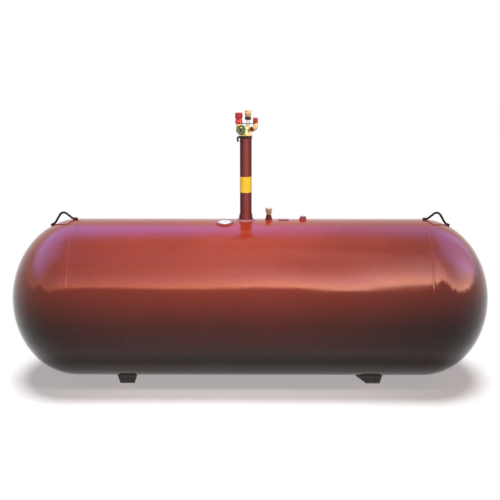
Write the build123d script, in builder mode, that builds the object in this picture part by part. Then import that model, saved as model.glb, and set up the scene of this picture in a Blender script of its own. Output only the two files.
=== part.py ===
from build123d import *
import os
from math import asin, cos, radians, sin, sqrt

# Horizontal pressure vessel for liquefied gas: a rolled shell with two dished ends on two welded
# feet, two lifting lugs, and a tall riser pipe that carries a brass valve with a handwheel.
# Frame: +X along the vessel, +Y to its back, +Z up, origin on the ground under the middle. mm.

# Vessel
shell_diameter = 1000.0
wall = 6.0
overall_length = 3000.0
head_dish = 410.0
head_flange = 20.0
ground_clearance = 30.0
# gap that a weld fills between a curved seat and the piece set on it
weld_gap = 0.15
bead_width = 16.0
bead_height = 2.5
long_seam_angle = 35.0

shell_radius = shell_diameter / 2
axis_height = ground_clearance + shell_radius
crown_height = axis_height + shell_radius
seam_x = overall_length / 2 - head_dish - head_flange
tangent_x = seam_x + head_flange
seat_radius = shell_radius + weld_gap

# Feet: folded channels across the vessel, open at the top, each with two end plates
foot_inset = 290.0
foot_length = 320.0
foot_base_width = 92.0
foot_top_width = 124.0
foot_plate = 8.0
end_plate_gap = 0.1
brace_reach = 62.0
brace_tip = 5.0

# Lifting lugs: one bent round bar over each girth seam
lug_bar = 14.0
lug_start = 15.0
lug_foot = 30.0
lug_apex_x = 108.0
lug_apex_rise = 52.0
lug_rest_x = 168.0
lug_bend = 28.0

# Riser
riser_x = -26.0
riser_pad_diameter = 100.0
riser_pad_thickness = 5.0
socket_base_diameter = 88.0
socket_top_diameter = 80.0
socket_height = 36.0
pipe_seat_height = 14.0
pipe_diameter = 73.0
pipe_wall = 5.2
riser_height = 524.0
band_bottom = 175.0
band_height = 98.0
band_thickness = 0.8
collar_diameter = 78.0
collar_height = 17.0
hook_bar = 12.0
hook_reach = 11.0
hook_drop = 20.0
hook_return = 4.0
hook_bend = 7.0

# Valve head, heights counted from the top of the riser
flange_diameter = 80.0
flange_thickness = 8.0
cone_base_diameter = 72.0
cone_height = 20.0
column_diameter = 52.0
column_top = 60.0
column_chamfer = 10.0
arm_height = 38.0
arm_bend = 22.0
arm_top = 70.0
fill_x = -42.0
fill_arm_diameter = 36.0
fill_neck_diameter = 26.0
vapour_x = 59.0
vapour_arm_diameter = 31.0
vapour_neck_diameter = 23.0
neck_length = 6.5
strap_thickness = 5.0
strap_width = 14.0
strap_margin = 4.5

outlet_x = 36.0
outlet_height = 42.0
outlet_boss_diameter = 25.0
outlet_boss_length = 22.0
outlet_hex_flats = 26.0
outlet_hex_length = 8.0
outlet_diameter = 20.9
outlet_length = 16.0
outlet_bore = 12.0
outlet_bore_depth = 18.0

fill_cap_base = 50.0
fill_cap_waist = 37.0
fill_cap_diameter = 46.0
fill_cap_height = 63.0
fill_cap_skirt = 27.0
fill_cap_grips = 16
fill_cap_grip = 4.0
vapour_cap_diameter = 31.0
vapour_cap_height = 33.0
relief_x = 14.0
relief_neck_diameter = 20.0
relief_neck_height = 36.0
relief_ring_diameter = 38.0
relief_ring_height = 19.0
relief_cap_base = 34.0
relief_cap_diameter = 41.0
relief_cap_height = 40.0
cap_edge = 3.0

service_x = -14.0
service_height = 9.0
service_turn = 14.0
service_rise = 26.0
service_arm_diameter = 30.0
service_arm_length = 36.0
service_arm_start = 11.0
bonnet_flats = 34.0
bonnet_length = 12.0
gland_diameter = 20.0
gland_length = 6.0
stem_diameter = 10.0
stem_clearance = 0.08
stem_end_play = 2.0
wheel_clearance = 6.0
wheel_diameter = 60.0
wheel_thickness = 13.0
wheel_web = 6.0
wheel_rim = 9.0
wheel_lobes = 8
wheel_scallop = 9.0
wheel_windows = 4
wheel_window = 10.0
wheel_hub = 19.0
wheel_nut_flats = 16.0
wheel_nut_thickness = 6.0
stem_tip = 3.0

# Smaller fittings on the crown
gauge_x = -155.0
gauge_lean = 9.5
gauge_boss_diameter = 104.0
gauge_boss_height = 5.0
gauge_bezel_diameter = 98.0
gauge_bezel_height = 5.5
gauge_dial_diameter = 86.0
gauge_dial_height = 4.0
gauge_dial_gap = 0.3
drawoff_x = 118.0
drawoff_socket_base = 46.0
drawoff_socket_top = 28.0
drawoff_socket_height = 36.0
drawoff_hex_flats = 34.0
drawoff_hex_height = 12.0
drawoff_cap_diameter = 42.0
drawoff_cap_height = 26.0
plate_x = 211.0
plate_length = 64.0
plate_depth = 48.0
plate_thickness = 4.0
plug_x = 332.0
plug_socket_diameter = 44.0
plug_socket_height = 8.0
plug_flats = 38.0
plug_height = 14.0
port_bore = 20.0

# Planes and axes that several pieces share
profile_plane = Plane(origin=(0, 0, axis_height), x_dir=(1, 0, 0), z_dir=(0, -1, 0))
section_plane = Plane(origin=(0, 0, axis_height), x_dir=(0, 1, 0), z_dir=(1, 0, 0))
vessel_axis = Axis((0, 0, axis_height), (1, 0, 0))
along_vessel = Location((0, 0, axis_height), (0, 90, 0))

os.makedirs("parts", exist_ok=True)


def save(built, label):
    """Label one finished piece and write it as a solid of its own."""
    built.part.label = label
    export_step(built.part, f"parts/{label}.step")


def hexagon_radius(flats):
    """Corner radius of a hexagon from the distance across its flats."""
    return flats / sqrt(3)


# Shell: a rolled plate with one round opening under each fitting on the crown
with BuildPart() as shell:
    with BuildSketch(section_plane.offset(-seam_x)):
        Circle(shell_radius)
        Circle(shell_radius - wall, mode=Mode.SUBTRACT)
    extrude(amount=2 * seam_x)
    with BuildSketch(Plane.XY.offset(axis_height)):
        with Locations((riser_x, 0)):
            Circle(pipe_diameter / 2 - pipe_wall)
        with Locations((drawoff_x, 0), (plug_x, 0)):
            Circle(port_bore / 2)
    extrude(amount=shell_diameter, mode=Mode.SUBTRACT)
save(shell, "shell")

# Dished ends: a half ellipse of revolution behind a short straight flange
with BuildPart() as right_head:
    with BuildSketch(profile_plane):
        with BuildLine():
            outer = EllipticalCenterArc((tangent_x, 0), head_dish, shell_radius, arc_size=90)
            inner = EllipticalCenterArc((tangent_x, 0), head_dish - wall, shell_radius - wall, arc_size=90)
            Line(outer @ 0, inner @ 0)
            Polyline(outer @ 1, (seam_x, shell_radius), (seam_x, shell_radius - wall), inner @ 1)
        make_face()
    revolve(axis=vessel_axis)
save(right_head, "right_head")

with BuildPart() as left_head:
    mirror(right_head.part, about=Plane.YZ)
save(left_head, "left_head")

# Weld beads: low crowned rings over the two girth seams and one bead along the shell's own seam
with BuildPart() as right_girth_weld:
    with BuildSketch(profile_plane):
        with BuildLine():
            foot_line = Line((seam_x - bead_width / 2, seat_radius), (seam_x + bead_width / 2, seat_radius))
            ThreePointArc(foot_line @ 0, (seam_x, seat_radius + bead_height), foot_line @ 1)
        make_face()
    revolve(axis=vessel_axis)
save(right_girth_weld, "right_girth_weld")

with BuildPart() as left_girth_weld:
    mirror(right_girth_weld.part, about=Plane.YZ)
save(left_girth_weld, "left_girth_weld")

seam_run = 2 * seam_x - 2 * bead_width
with BuildPart() as long_seam_weld:
    with BuildSketch(section_plane.offset(-seam_run / 2)):
        with PolarLocations(shell_radius, 1, start_angle=long_seam_angle):
            Ellipse(bead_height, bead_width / 2)
        Circle(seat_radius, mode=Mode.SUBTRACT)
    extrude(amount=seam_run)
save(long_seam_weld, "long_seam_weld")

# Feet: a folded channel, wider at the top, coped to the shell and closed by a plate at each end
foot_x = seam_x - foot_inset
end_plate_y = foot_length / 2
foot_rise = axis_height - sqrt(shell_radius**2 - end_plate_y**2)
foot_slope = (foot_top_width - foot_base_width) / 2 / foot_rise


def channel_outline(inset, bottom):
    """Corners of the channel's cross-section up to the vessel axis, drawn in by an inset."""
    low = foot_base_width / 2 - inset + foot_slope * bottom
    high = foot_base_width / 2 - inset + foot_slope * axis_height
    return [(-low, bottom), (low, bottom), (high, axis_height), (-high, axis_height)]


foot_front = Plane(origin=(foot_x, -end_plate_y, 0), x_dir=(1, 0, 0), z_dir=(0, -1, 0))
with BuildPart() as right_foot:
    with BuildSketch(foot_front):
        Polygon(channel_outline(0, 0), align=None)
        Polygon(channel_outline(foot_plate, foot_plate), align=None, mode=Mode.SUBTRACT)
    extrude(amount=-foot_length)
    with Locations(along_vessel):
        Cylinder(seat_radius, overall_length, mode=Mode.SUBTRACT)
save(right_foot, "right_foot")

with BuildPart() as right_foot_front_plate:
    with BuildSketch(foot_front):
        Polygon(channel_outline(foot_plate + end_plate_gap, foot_plate), align=None)
    extrude(amount=-foot_plate)
    with Locations(along_vessel):
        Cylinder(seat_radius, overall_length, mode=Mode.SUBTRACT)
save(right_foot_front_plate, "right_foot_front_plate")

with BuildPart() as right_foot_rear_plate:
    mirror(right_foot_front_plate.part, about=Plane.XZ)
save(right_foot_rear_plate, "right_foot_rear_plate")

# Brace: a pointed plate between the right foot's inner wall and the shell, in line with the front plate
brace_root = foot_base_width / 2 + end_plate_gap
brace_end = brace_root + brace_reach
with BuildPart() as right_foot_brace:
    with BuildSketch(foot_front):
        Polygon(
            (-brace_root - foot_slope * foot_plate, foot_plate),
            (-brace_root - foot_slope * axis_height, axis_height),
            (-brace_end - foot_slope * axis_height, axis_height),
            (-brace_end, foot_rise - brace_tip),
            align=None,
        )
    extrude(amount=-foot_plate)
    with Locations(along_vessel):
        Cylinder(seat_radius, overall_length, mode=Mode.SUBTRACT)
save(right_foot_brace, "right_foot_brace")

with BuildPart() as left_foot:
    mirror(right_foot.part, about=Plane.YZ)
save(left_foot, "left_foot")

with BuildPart() as left_foot_front_plate:
    mirror(right_foot_front_plate.part, about=Plane.YZ)
save(left_foot_front_plate, "left_foot_front_plate")

with BuildPart() as left_foot_rear_plate:
    mirror(right_foot_rear_plate.part, about=Plane.YZ)
save(left_foot_rear_plate, "left_foot_rear_plate")

# Lifting lugs: the bar lies on the crown beside the girth weld, rises to an apex and comes down
# to lie along the dish, so both ends are tangent to the vessel
rest_angle = asin((seam_x + lug_rest_x - tangent_x) / head_dish)
rest_point = Vector(seam_x + lug_rest_x, shell_radius * cos(rest_angle))
rest_run = Vector(head_dish * cos(rest_angle), -shell_radius * sin(rest_angle)).normalized()
rest_normal = Vector(-rest_run.Y, rest_run.X)
bar_centre = lug_bar / 2 + weld_gap
rest_middle = rest_point + rest_normal * bar_centre
lug_points = [
    Vector(seam_x + lug_start, shell_radius + bar_centre),
    Vector(seam_x + lug_start + lug_foot, shell_radius + bar_centre),
    Vector(seam_x + lug_apex_x, shell_radius + bar_centre + lug_apex_rise),
    rest_middle - rest_run * (lug_foot / 2),
    rest_middle + rest_run * (lug_foot / 2),
]
with BuildPart() as right_lug:
    with BuildLine(profile_plane) as lug_path:
        FilletPolyline(*[(point.X, point.Y) for point in lug_points], radius=lug_bend)
    with BuildSketch(section_plane.offset(seam_x + lug_start)):
        with Locations((0, shell_radius + bar_centre)):
            Circle(lug_bar / 2)
    sweep(path=lug_path.wires()[0])
save(right_lug, "right_lug")

with BuildPart() as left_lug:
    mirror(right_lug.part, about=Plane.YZ)
save(left_lug, "left_lug")

# Riser: a curved pad on the crown, a socket on the pad, the pipe standing on a ledge in the socket
pad_radius = seat_radius + riser_pad_thickness
pad_top = crown_height + weld_gap + riser_pad_thickness
pipe_radius = pipe_diameter / 2
with BuildPart() as riser_pad:
    with BuildSketch(Plane.XY.offset(axis_height)):
        with Locations((riser_x, 0)):
            Circle(riser_pad_diameter / 2)
            Circle(pipe_radius - pipe_wall, mode=Mode.SUBTRACT)
    extrude(amount=shell_diameter)
    with Locations(along_vessel):
        Cylinder(pad_radius, overall_length, mode=Mode.INTERSECT)
    with Locations(along_vessel):
        Cylinder(seat_radius, overall_length, mode=Mode.SUBTRACT)
save(riser_pad, "riser_pad")

socket_top = crown_height + socket_height
pipe_foot = crown_height + pipe_seat_height
riser_axis = Axis((riser_x, 0, 0), (0, 0, 1))
riser_profile = Plane(origin=(riser_x, 0, 0), x_dir=(1, 0, 0), z_dir=(0, -1, 0))
with BuildPart() as riser_socket:
    with BuildSketch(riser_profile):
        Polygon(
            (pipe_radius - pipe_wall, axis_height),
            (socket_base_diameter / 2, axis_height),
            (socket_base_diameter / 2, pad_top),
            (socket_top_diameter / 2, socket_top),
            (pipe_radius + weld_gap, socket_top),
            (pipe_radius + weld_gap, pipe_foot),
            (pipe_radius - pipe_wall, pipe_foot),
            align=None,
        )
    revolve(axis=riser_axis)
    with Locations(along_vessel):
        Cylinder(pad_radius + weld_gap, overall_length, mode=Mode.SUBTRACT)
save(riser_socket, "riser_socket")

riser_top = crown_height + riser_height
with BuildPart() as riser_pipe:
    with BuildSketch(Plane.XY.offset(pipe_foot)):
        with Locations((riser_x, 0)):
            Circle(pipe_radius)
            Circle(pipe_radius - pipe_wall, mode=Mode.SUBTRACT)
    extrude(amount=riser_top - pipe_foot)
save(riser_pipe, "riser_pipe")

# Band: a plain sleeve of foil wrapped round the pipe
with BuildPart() as label_band:
    with BuildSketch(Plane.XY.offset(crown_height + band_bottom)):
        with Locations((riser_x, 0)):
            Circle(pipe_radius + weld_gap + band_thickness)
            Circle(pipe_radius + weld_gap, mode=Mode.SUBTRACT)
    extrude(amount=band_height)
save(label_band, "label_band")

# Collar: a ring on the pipe's top, with a bent bar that hangs from its left side as a hook
with BuildPart() as riser_collar:
    with BuildSketch(Plane.XY.offset(riser_top - collar_height)):
        with Locations((riser_x, 0)):
            Circle(collar_diameter / 2)
            Circle(pipe_radius + weld_gap, mode=Mode.SUBTRACT)
    extrude(amount=collar_height)
save(riser_collar, "riser_collar")

hook_height = riser_top - collar_height / 2
hook_out = riser_x - collar_diameter / 2 - hook_reach
with BuildPart() as collar_hook:
    with BuildLine(Plane.XZ) as hook_path:
        FilletPolyline(
            (riser_x - pipe_radius, hook_height),
            (hook_out, hook_height),
            (hook_out, hook_height - hook_drop),
            (hook_out + hook_return, hook_height - hook_drop - 2 * hook_return),
            radius=hook_bend,
        )
    with BuildSketch(Plane.YZ.offset(riser_x - pipe_radius)):
        with Locations((0, hook_height)):
            Circle(hook_bar / 2)
    sweep(path=hook_path.wires()[0])
    with BuildSketch(Plane.XY.offset(riser_top - collar_height)):
        with Locations((riser_x, 0)):
            Circle(collar_diameter / 2 + weld_gap)
    extrude(amount=collar_height, mode=Mode.SUBTRACT)
save(collar_hook, "collar_hook")

# Valve body: a brass casting with a flanged, conical foot and a column, two arms that turn up
# into the filling and vapour ports, a boss for the outlet and a rising arm for the service valve
valve_plane = Plane.XY.offset(riser_top)
valve_profile = Plane(origin=(riser_x, 0, riser_top), x_dir=(1, 0, 0), z_dir=(0, -1, 0))
service_level = cos(radians(service_rise))
service_axis = (
    -sin(radians(service_turn)) * service_level,
    -cos(radians(service_turn)) * service_level,
    sin(radians(service_rise)),
)
service_across = (cos(radians(service_turn)), -sin(radians(service_turn)), 0)
service_plane = Plane(
    origin=(riser_x + service_x, 0, riser_top + service_height),
    x_dir=service_across,
    z_dir=service_axis,
)
neck_top = arm_top + neck_length
with BuildPart() as valve_body:
    with BuildSketch(valve_profile):
        Polygon(
            (0, 0),
            (flange_diameter / 2, 0),
            (flange_diameter / 2, flange_thickness),
            (cone_base_diameter / 2, flange_thickness),
            (column_diameter / 2, flange_thickness + cone_height),
            (column_diameter / 2, column_top - column_chamfer / 2),
            (column_diameter / 2 - column_chamfer / 2, column_top),
            (0, column_top),
            align=None,
        )
    revolve(axis=riser_axis)
    for port_x, arm_diameter, neck_diameter in (
        (fill_x, fill_arm_diameter, fill_neck_diameter),
        (vapour_x, vapour_arm_diameter, vapour_neck_diameter),
    ):
        with BuildLine(valve_profile) as arm_path:
            FilletPolyline((0, arm_height), (port_x, arm_height), (port_x, arm_top), radius=arm_bend)
        with BuildSketch(Plane.YZ.offset(riser_x)):
            with Locations((0, riser_top + arm_height)):
                Circle(arm_diameter / 2)
        sweep(path=arm_path.wires()[0])
        with BuildSketch(valve_plane.offset(arm_top)):
            with Locations((riser_x + port_x, 0)):
                Circle(neck_diameter / 2)
        extrude(amount=neck_length)
    with BuildSketch(service_plane.offset(service_arm_start)):
        Circle(service_arm_diameter / 2)
    extrude(amount=service_arm_length - service_arm_start)
    with BuildSketch(Plane.XZ):
        with Locations((riser_x + outlet_x, riser_top + outlet_height)):
            Circle(outlet_boss_diameter / 2)
    extrude(amount=outlet_boss_length)
save(valve_body, "valve_body")

# Outlet: a hexagon nipple screwed into the boss, facing the front, with a blind gas way
with BuildPart() as outlet_nipple:
    with BuildSketch(Plane.XZ.offset(outlet_boss_length)):
        with Locations((riser_x + outlet_x, riser_top + outlet_height)):
            RegularPolygon(hexagon_radius(outlet_hex_flats), 6)
    extrude(amount=outlet_hex_length)
    with BuildSketch(Plane.XZ.offset(outlet_boss_length + outlet_hex_length)):
        with Locations((riser_x + outlet_x, riser_top + outlet_height)):
            Circle(outlet_diameter / 2)
    extrude(amount=outlet_length)
    with BuildSketch(Plane.XZ.offset(outlet_boss_length + outlet_hex_length + outlet_length)):
        with Locations((riser_x + outlet_x, riser_top + outlet_height)):
            Circle(outlet_bore / 2)
    extrude(amount=-outlet_bore_depth, mode=Mode.SUBTRACT)
save(outlet_nipple, "outlet_nipple")

# Cap strap: a flat link with an eye over each port's neck and one round the relief neck
with BuildPart() as cap_strap:
    with BuildSketch(valve_plane.offset(arm_top)):
        with Locations((riser_x + (fill_x + vapour_x) / 2, 0)):
            Rectangle(vapour_x - fill_x, strap_width)
        for eye_x, eye_diameter in (
            (fill_x, fill_neck_diameter),
            (vapour_x, vapour_neck_diameter),
            (relief_x, relief_neck_diameter),
        ):
            with Locations((riser_x + eye_x, 0)):
                Circle(eye_diameter / 2 + weld_gap + strap_margin)
        for eye_x, eye_diameter in (
            (fill_x, fill_neck_diameter),
            (vapour_x, vapour_neck_diameter),
            (relief_x, relief_neck_diameter),
        ):
            with Locations((riser_x + eye_x, 0)):
                Circle(eye_diameter / 2 + weld_gap, mode=Mode.SUBTRACT)
    extrude(amount=strap_thickness)
save(cap_strap, "cap_strap")

# Caps: a waisted knob with finger grips over the filling port and a small cap over the vapour port
fill_cap_top = neck_top + fill_cap_height
with BuildPart() as fill_cap:
    with BuildSketch(valve_profile):
        Polygon(
            (fill_x, neck_top),
            (fill_x + fill_cap_base / 2, neck_top),
            (fill_x + fill_cap_base / 2, neck_top + cap_edge),
            (fill_x + fill_cap_waist / 2, neck_top + fill_cap_skirt),
            (fill_x + fill_cap_diameter / 2, neck_top + fill_cap_skirt + cap_edge),
            (fill_x + fill_cap_diameter / 2, fill_cap_top - cap_edge),
            (fill_x + fill_cap_diameter / 2 - cap_edge, fill_cap_top),
            (fill_x, fill_cap_top),
            align=None,
        )
    revolve(axis=Axis((riser_x + fill_x, 0, 0), (0, 0, 1)))
    with BuildSketch(valve_plane.offset(neck_top + fill_cap_skirt)):
        with Locations((riser_x + fill_x, 0)):
            with PolarLocations(fill_cap_diameter / 2 + fill_cap_grip / 4, fill_cap_grips):
                Circle(fill_cap_grip / 2)
    extrude(amount=fill_cap_height, mode=Mode.SUBTRACT)
save(fill_cap, "fill_cap")

with BuildPart() as vapour_cap:
    with BuildSketch(valve_plane.offset(neck_top)):
        with Locations((riser_x + vapour_x, 0)):
            Circle(vapour_cap_diameter / 2)
    extrude(amount=vapour_cap_height)
    fillet(vapour_cap.edges().group_by(Axis.Z)[-1], 2 * cap_edge)
save(vapour_cap, "vapour_cap")

# Relief valve: a bright neck on the column, a dark seat ring, and a rain cap that widens upwards
relief_seat = column_top + relief_neck_height
relief_foot = relief_seat + relief_ring_height
relief_top = relief_foot + relief_cap_height
with BuildPart() as relief_neck:
    with BuildSketch(valve_plane.offset(column_top)):
        with Locations((riser_x + relief_x, 0)):
            Circle(relief_neck_diameter / 2)
    extrude(amount=relief_neck_height)
save(relief_neck, "relief_neck")

with BuildPart() as relief_ring:
    with BuildSketch(valve_plane.offset(relief_seat)):
        with Locations((riser_x + relief_x, 0)):
            Circle(relief_ring_diameter / 2)
    extrude(amount=relief_ring_height)
save(relief_ring, "relief_ring")

with BuildPart() as relief_cap:
    with BuildSketch(valve_profile):
        Polygon(
            (relief_x, relief_foot),
            (relief_x + relief_cap_base / 2, relief_foot),
            (relief_x + relief_cap_diameter / 2, relief_foot + relief_cap_height / 2),
            (relief_x + relief_cap_diameter / 2, relief_top),
            (relief_x, relief_top),
            align=None,
        )
    revolve(axis=Axis((riser_x + relief_x, 0, 0), (0, 0, 1)))
    fillet(relief_cap.edges().group_by(Axis.Z)[-1], 2 * cap_edge)
save(relief_cap, "relief_cap")

# Service valve: a hexagon bonnet with a gland, bored for the stem
stem_radius = stem_diameter / 2
with BuildPart() as bonnet:
    with BuildSketch(service_plane.offset(service_arm_length)):
        RegularPolygon(hexagon_radius(bonnet_flats), 6)
    extrude(amount=bonnet_length)
    with BuildSketch(service_plane.offset(service_arm_length + bonnet_length)):
        Circle(gland_diameter / 2)
    extrude(amount=gland_length)
    with BuildSketch(service_plane.offset(service_arm_length)):
        Circle(stem_radius + stem_clearance)
    extrude(amount=bonnet_length + gland_length, mode=Mode.SUBTRACT)
save(bonnet, "bonnet")

wheel_back = service_arm_length + bonnet_length + gland_length + wheel_clearance
wheel_front = wheel_back + wheel_thickness
stem_start = service_arm_length + stem_end_play
with BuildPart() as valve_stem:
    with BuildSketch(service_plane.offset(stem_start)):
        Circle(stem_radius)
    extrude(amount=wheel_front + wheel_nut_thickness + stem_tip - stem_start)
save(valve_stem, "valve_stem")

# Handwheel: hub, thin web with round windows, and a rim scalloped into finger lobes
window_ring = (wheel_diameter / 2 - wheel_rim + wheel_hub / 2) / 2
with BuildPart() as handwheel:
    with BuildSketch(service_plane.offset(wheel_back)):
        Circle(wheel_diameter / 2)
        Circle(wheel_diameter / 2 - wheel_rim, mode=Mode.SUBTRACT)
        Circle(wheel_hub / 2)
    extrude(amount=wheel_thickness)
    with BuildSketch(service_plane.offset(wheel_back + (wheel_thickness - wheel_web) / 2)):
        Circle(wheel_diameter / 2 - wheel_rim / 2)
        with PolarLocations(window_ring, wheel_windows):
            Circle(wheel_window / 2, mode=Mode.SUBTRACT)
    extrude(amount=wheel_web)
    with BuildSketch(service_plane.offset(wheel_back)):
        Circle(stem_radius + weld_gap)
        with PolarLocations(wheel_diameter / 2 + wheel_scallop / 4, wheel_lobes):
            Circle(wheel_scallop / 2)
    extrude(amount=wheel_thickness, mode=Mode.SUBTRACT)
save(handwheel, "handwheel")

with BuildPart() as wheel_nut:
    with BuildSketch(service_plane.offset(wheel_front)):
        RegularPolygon(hexagon_radius(wheel_nut_flats), 6)
        Circle(stem_radius + weld_gap, mode=Mode.SUBTRACT)
    extrude(amount=wheel_nut_thickness)
save(wheel_nut, "wheel_nut")

# Level gauge: a round boss that leans with the shell's surface, a ring on it and the dial inside
gauge_out = Vector(0, -sin(radians(gauge_lean)), cos(radians(gauge_lean)))
gauge_plane = Plane(
    origin=Vector(gauge_x, 0, axis_height) + gauge_out * shell_radius,
    x_dir=(1, 0, 0),
    z_dir=gauge_out,
)
gauge_direction = Axis((0, 0, 0), gauge_out)
with BuildPart() as gauge_boss:
    with BuildSketch(gauge_plane.offset(-gauge_boss_height)):
        Circle(gauge_boss_diameter / 2)
    extrude(amount=2 * gauge_boss_height)
    with Locations(along_vessel):
        Cylinder(seat_radius, overall_length, mode=Mode.SUBTRACT)
save(gauge_boss, "gauge_boss")

with BuildPart() as gauge_bezel:
    with BuildSketch(gauge_plane.offset(gauge_boss_height)):
        Circle(gauge_bezel_diameter / 2)
        Circle(gauge_dial_diameter / 2 + gauge_dial_gap, mode=Mode.SUBTRACT)
    extrude(amount=gauge_bezel_height)
    bezel_edge = (gauge_bezel_diameter - gauge_dial_diameter) / 2 - gauge_dial_gap
    chamfer(gauge_bezel.edges().group_by(gauge_direction)[-1].sort_by(SortBy.RADIUS)[-1], bezel_edge / 2)
save(gauge_bezel, "gauge_bezel")

with BuildPart() as gauge_dial:
    with BuildSketch(gauge_plane.offset(gauge_boss_height)):
        Circle(gauge_dial_diameter / 2)
    extrude(amount=gauge_dial_height)
    fillet(gauge_dial.edges().group_by(gauge_direction)[-1], gauge_dial_height / 2)
save(gauge_dial, "gauge_dial")

# Liquid draw-off valve: a socket set on the crown, a brass hexagon and a round brass cap
drawoff_seat = crown_height + drawoff_socket_height
drawoff_profile = Plane(origin=(drawoff_x, 0, 0), x_dir=(1, 0, 0), z_dir=(0, -1, 0))
with BuildPart() as drawoff_socket:
    with BuildSketch(drawoff_profile):
        Polygon(
            (port_bore / 2, axis_height),
            (drawoff_socket_base / 2, axis_height),
            (drawoff_socket_base / 2, crown_height),
            (drawoff_socket_top / 2, drawoff_seat),
            (port_bore / 2, drawoff_seat),
            align=None,
        )
    revolve(axis=Axis((drawoff_x, 0, 0), (0, 0, 1)))
    with Locations(along_vessel):
        Cylinder(seat_radius, overall_length, mode=Mode.SUBTRACT)
save(drawoff_socket, "drawoff_socket")

with BuildPart() as drawoff_valve:
    with BuildSketch(Plane.XY.offset(drawoff_seat)):
        with Locations((drawoff_x, 0)):
            RegularPolygon(hexagon_radius(drawoff_hex_flats), 6)
    extrude(amount=drawoff_hex_height)
save(drawoff_valve, "drawoff_valve")

with BuildPart() as drawoff_cap:
    with BuildSketch(Plane.XY.offset(drawoff_seat + drawoff_hex_height)):
        with Locations((drawoff_x, 0)):
            Circle(drawoff_cap_diameter / 2)
    extrude(amount=drawoff_cap_height)
    fillet(drawoff_cap.edges().group_by(Axis.Z)[-1], cap_edge)
save(drawoff_cap, "drawoff_cap")

# Crown plate: a bare plate curved to the shell
with BuildPart() as crown_plate:
    with BuildSketch(Plane.XY.offset(axis_height)):
        with Locations((plate_x, 0)):
            Rectangle(plate_length, plate_depth)
    extrude(amount=shell_diameter)
    with Locations(along_vessel):
        Cylinder(seat_radius + plate_thickness, overall_length, mode=Mode.INTERSECT)
    with Locations(along_vessel):
        Cylinder(seat_radius, overall_length, mode=Mode.SUBTRACT)
save(crown_plate, "crown_plate")

# Blanked port: a low socket closed by a hexagon plug
plug_seat = crown_height + plug_socket_height
with BuildPart() as plug_socket:
    with BuildSketch(Plane.XY.offset(axis_height)):
        with Locations((plug_x, 0)):
            Circle(plug_socket_diameter / 2)
            Circle(port_bore / 2, mode=Mode.SUBTRACT)
    extrude(amount=plug_seat - axis_height)
    with Locations(along_vessel):
        Cylinder(seat_radius, overall_length, mode=Mode.SUBTRACT)
save(plug_socket, "plug_socket")

with BuildPart() as socket_plug:
    with BuildSketch(Plane.XY.offset(plug_seat)):
        with Locations((plug_x, 0)):
            RegularPolygon(hexagon_radius(plug_flats), 6)
    extrude(amount=plug_height)
save(socket_plug, "socket_plug")
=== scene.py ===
from math import atan, cos, radians, sin

import bmesh
import bpy
import numpy as np
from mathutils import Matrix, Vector


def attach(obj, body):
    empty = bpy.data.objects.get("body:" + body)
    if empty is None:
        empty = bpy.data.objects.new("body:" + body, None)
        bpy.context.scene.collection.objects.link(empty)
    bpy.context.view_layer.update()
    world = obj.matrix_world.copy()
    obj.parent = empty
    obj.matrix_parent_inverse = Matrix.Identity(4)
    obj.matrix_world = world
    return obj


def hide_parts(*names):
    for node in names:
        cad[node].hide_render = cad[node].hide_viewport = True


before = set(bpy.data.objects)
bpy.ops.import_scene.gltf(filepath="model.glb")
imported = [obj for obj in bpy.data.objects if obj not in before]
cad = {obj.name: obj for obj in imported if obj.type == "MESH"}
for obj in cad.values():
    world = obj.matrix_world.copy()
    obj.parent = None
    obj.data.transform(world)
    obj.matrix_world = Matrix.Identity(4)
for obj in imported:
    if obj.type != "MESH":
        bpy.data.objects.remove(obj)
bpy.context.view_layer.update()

# Shell and dished ends: steel plate, rolled and pressed, welded into one vessel and sprayed with
# glossy red-brown paint. Rolled plate is never quite true, so it carries shallow flats and dents.
axis_height = 0.53
shell_radius = 0.5
seam_x = 1.07
tangent_x = 1.09
dish_depth = 0.41
plate = 0.006
dent_depth = 0.0021
shell_rows = 220
same_spot = 2e-6
sharp_edge = radians(40)


def skin(name, points, ring_rows=False):
    """Cover a grid of points, rows by columns, with quads. Each row is a ring, and ring_rows joins the
    last row to the first. Points that coincide become one, and faces that look inward are turned."""
    rows, columns = points.shape[:2]
    row, column = np.meshgrid(np.arange(rows if ring_rows else rows - 1), np.arange(columns), indexing="ij")
    below, beside = (row + 1) % rows, (column + 1) % columns
    corners = [row * columns + column, below * columns + column,
               below * columns + beside, row * columns + beside]
    quads = np.stack(corners, -1).reshape(-1, 4)
    spots = points.reshape(-1, 3)
    a, b, c, d = (spots[quads[:, k]] for k in range(4))
    volume = np.sum(a * (np.cross(b, c) + np.cross(c, d)))
    if volume < 0:
        quads = quads[:, ::-1]
    mesh = bpy.data.meshes.new(name)
    mesh.vertices.add(len(spots))
    mesh.vertices.foreach_set("co", spots.astype(np.float32).ravel())
    mesh.loops.add(quads.size)
    mesh.loops.foreach_set("vertex_index", quads.astype(np.int32).ravel())
    mesh.polygons.add(len(quads))
    mesh.polygons.foreach_set("loop_start", np.arange(0, quads.size, 4, dtype=np.int32))
    mesh.update(calc_edges=True)
    work = bmesh.new()
    work.from_mesh(mesh)
    bmesh.ops.remove_doubles(work, verts=work.verts, dist=same_spot)
    work.to_mesh(mesh)
    work.free()
    mesh.polygons.foreach_set("use_smooth", np.ones(len(mesh.polygons), bool))
    mesh.set_sharp_from_angle(angle=sharp_edge)
    mesh.update()
    piece = bpy.data.objects.new(name, mesh)
    bpy.context.scene.collection.objects.link(piece)
    return piece


def fit(piece, finish, slot, *nodes, body="tank"):
    """Give a piece its finish, let it ride on its body and stand for the CAD nodes named."""
    piece.data.materials.append(finish)
    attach(piece, body)
    if nodes:
        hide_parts(*nodes)


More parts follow.
